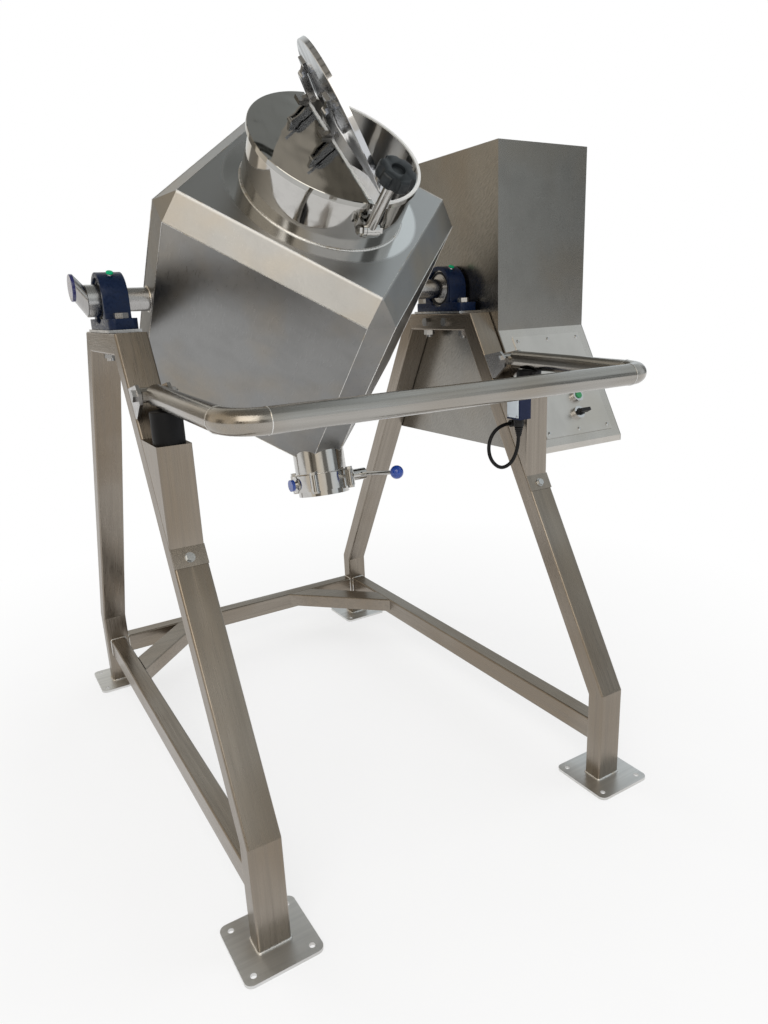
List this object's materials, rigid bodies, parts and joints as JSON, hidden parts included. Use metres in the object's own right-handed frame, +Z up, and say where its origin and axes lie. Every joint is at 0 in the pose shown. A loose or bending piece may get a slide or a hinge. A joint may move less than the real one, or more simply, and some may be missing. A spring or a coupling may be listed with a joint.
{
  "type": "cubic powder mixer",
  "caption": "Floor-standing cubic powder mixer: a tilted cube vessel on trunnions between A-frames, with a split manway, outlet valve, lift-up guard and drive housing",
  "frame": {"origin": "on the floor, at the centre of the rectangle of outermost anchor holes, midway between the four feet and under the trunnion axis", "axes": "+X along the trunnion axis towards the drive housing, -Y towards the front where the guard and the control panel are, +Z up"},
  "size_m": [1.173, 1.2695, 1.4834],
  "materials": {
    "frame_steel": "satin brushed stainless steel with weld tints",
    "guard_steel": "polished stainless tube",
    "vessel_steel": "satin stainless sheet with straw-coloured folds",
    "polished_steel": "mirror-polished stainless steel",
    "machined_steel": "turned and ground steel",
    "housing_steel": "brushed stainless sheet",
    "bright_fasteners": "bright stainless and zinc fasteners",
    "bearing_blue": "blue enamel on cast iron",
    "black_rubber": "black rubber",
    "white_silicone": "white silicone",
    "knob_black": "black moulded plastic",
    "ball_blue": "blue gloss plastic",
    "switch_blue": "dark blue switch case with a light grey cover",
    "switch_black": "black glass-filled nylon",
    "bezel_chrome": "chromed metal",
    "selector_black": "black plastic handle",
    "button_green": "green plastic",
    "cable_black": "black cable sheath",
    "drive_grey": "grey enamel"
  },
  "bodies": {
    "frame": {"left_front_leg": "frame_steel", "left_rear_leg": "frame_steel", "right_front_leg": "frame_steel", "right_rear_leg": "frame_steel", "left_top_beam": "frame_steel", "right_top_beam": "frame_steel", "side_rails": "frame_steel", "rear_cross_rail": "frame_steel", "corner_braces": "frame_steel", "foot_plates": "frame_steel", "left_post": "frame_steel", "right_post": "frame_steel", "guard_hinges": "guard_steel", "bearing_outer_rings": "machined_steel", "bearing_shims": "machined_steel", "housing_upper_cover": "housing_steel", "housing_skirts": "housing_steel", "housing_sides": "housing_steel", "housing_bottom_plate": "housing_steel", "control_panel": "housing_steel", "bearing_bolts": "bright_fasteners", "cover_screws": "bright_fasteners", "gear_mounts": "bright_fasteners", "bearing_blocks": "bearing_blue", "guard_bumpers": "black_rubber", "switch_body": "switch_blue", "cable_glands": "switch_black", "switch_bezels": "bezel_chrome", "switch_cable": "cable_black", "gear_case": "drive_grey", "motor_body": "drive_grey"},
    "vessel": {"vessel_shell": "vessel_steel", "left_trunnion": "machined_steel", "right_trunnion": "machined_steel", "bearing_inner_rings": "machined_steel", "shaft_end_cap": "machined_steel", "port_cap": "ball_blue", "gear_output_sleeve": "machined_steel", "manway_neck": "polished_steel", "lid_gasket": "white_silicone", "fixed_lid_half": "polished_steel", "fixed_hinge_straps": "polished_steel", "clamp_bracket": "polished_steel", "outlet_spout": "polished_steel", "valve_body_upper": "polished_steel", "valve_body_lower": "polished_steel", "valve_seal": "white_silicone", "valve_bolts": "bright_fasteners"},
    "lid": {"hinged_lid_half": "polished_steel"},
    "clamp": {"swing_bolt": "polished_steel"},
    "knob": {"star_knob": "knob_black"},
    "valve": {"valve_disc": "machined_steel", "valve_lever": "polished_steel", "lever_ball": "ball_blue", "stem_plug": "ball_blue"},
    "guard": {"guard_tube": "guard_steel"},
    "selector": {"selector_knob": "selector_black"},
    "button": {"start_button": "button_green"},
    "switch_arm": {"switch_lever": "switch_black"},
    "fan": {"motor_fan": "drive_grey"}
  },
  "joints": [
    {"name": "vessel_spin", "type": "hinge", "parent": "frame", "child": "vessel", "pos_m": [0, 0, 1.064], "axis": [1, 0, 0], "continuous": true},
    {"name": "lid_hinge", "type": "hinge", "parent": "vessel", "child": "lid", "pos_m": [-0.012, -0.24632, 1.32448], "axis": [0, -0.7266, -0.6871], "range_deg": [-127, 0]},
    {"name": "clamp_swing", "type": "hinge", "parent": "vessel", "child": "clamp", "pos_m": [-0.012, -0.3382, 1.16258], "axis": [1, 0, 0], "range_deg": [0, 88]},
    {"name": "knob_spin", "type": "hinge", "parent": "clamp", "child": "knob", "pos_m": [-0.012, -0.3382, 1.16258], "axis": [0, -0.7815, 0.6239], "continuous": true},
    {"name": "valve_turn", "type": "hinge", "parent": "vessel", "child": "valve", "pos_m": [-0.012, -0.08157, 0.6571], "axis": [1, 0, 0], "range_deg": [0, 90]},
    {"name": "guard_hinge", "type": "hinge", "parent": "frame", "child": "guard", "pos_m": [0, -0.242, 0.903], "axis": [-1, 0, 0], "range_deg": [0, 38]},
    {"name": "selector_turn", "type": "hinge", "parent": "frame", "child": "selector", "pos_m": [0.584, -0.2754, 0.7625], "axis": [0, -0.8792, 0.4765], "range_deg": [0, 90]},
    {"name": "start_press", "type": "slide", "parent": "frame", "child": "button", "axis": [0, 0.8792, -0.4765], "range_m": [0, 0.004], "stiffness_N_per_m": 300},
    {"name": "switch_arm_press", "type": "hinge", "parent": "frame", "child": "switch_arm", "pos_m": [0.3535, -0.339, 0.845], "axis": [0, 1, 0], "range_deg": [0, 20], "stiffness_Nm_per_rad": 0.5},
    {"name": "motor_fan_spin", "type": "hinge", "parent": "frame", "child": "fan", "pos_m": [0.538, 0.052, 1.3], "axis": [0, 0, 1], "continuous": true}
  ],
  "couplings": [
    {"joint": "motor_fan_spin", "follows": "vessel_spin", "ratio": 40}
  ]
}
